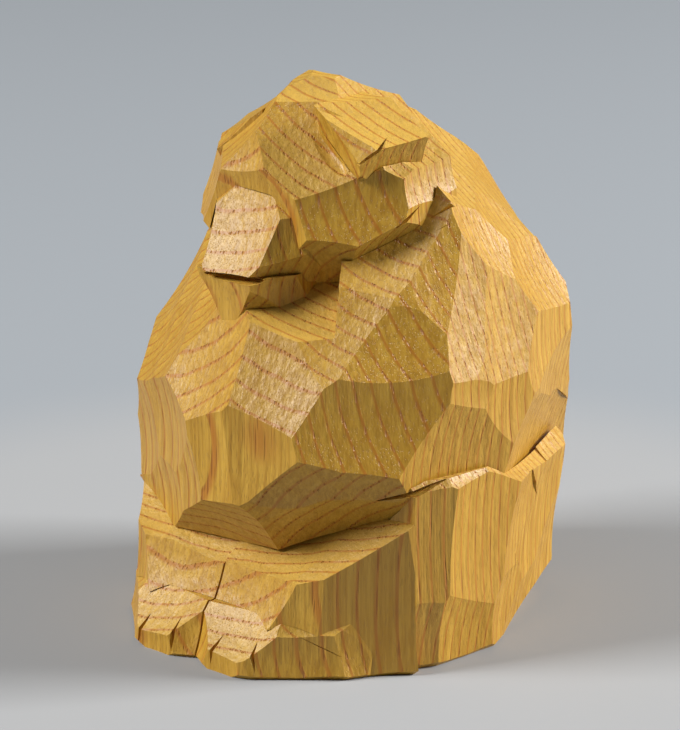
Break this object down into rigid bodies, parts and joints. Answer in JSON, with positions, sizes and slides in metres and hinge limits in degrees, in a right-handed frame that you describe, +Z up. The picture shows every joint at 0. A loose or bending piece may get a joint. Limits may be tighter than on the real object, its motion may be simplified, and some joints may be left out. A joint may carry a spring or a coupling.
{
  "type": "carved wooden bear figurine",
  "caption": "Squat sitting bear hugging its knees, head bowed over folded arms, carved from a solid wood block in broad faceted gouge cuts; stands on a flat base as a desk or shelf ornament.",
  "frame": {"origin": "centre of the base on the table, under the middle of the bounding box", "axes": "+Z up from the table to the crown of the head, -Y towards the front where the bear faces, +X towards the bear's own left side"},
  "size_m": [0.08, 0.09, 0.11],
  "materials": {
    "carved_wood": "bare oiled ring-porous hardwood with fresh knife cuts"
  },
  "bodies": {
    "root": {"head": "carved_wood", "muzzle": "carved_wood", "lower_jaw": "carved_wood", "left_ear": "carved_wood", "right_ear": "carved_wood", "neck": "carved_wood", "torso": "carved_wood", "left_arm": "carved_wood", "right_arm": "carved_wood", "left_paw": "carved_wood", "right_paw": "carved_wood", "belly": "carved_wood", "rump": "carved_wood", "left_haunch": "carved_wood", "right_haunch": "carved_wood", "left_shin": "carved_wood", "right_shin": "carved_wood", "left_foot": "carved_wood", "right_foot": "carved_wood"}
  },
  "joints": []
}
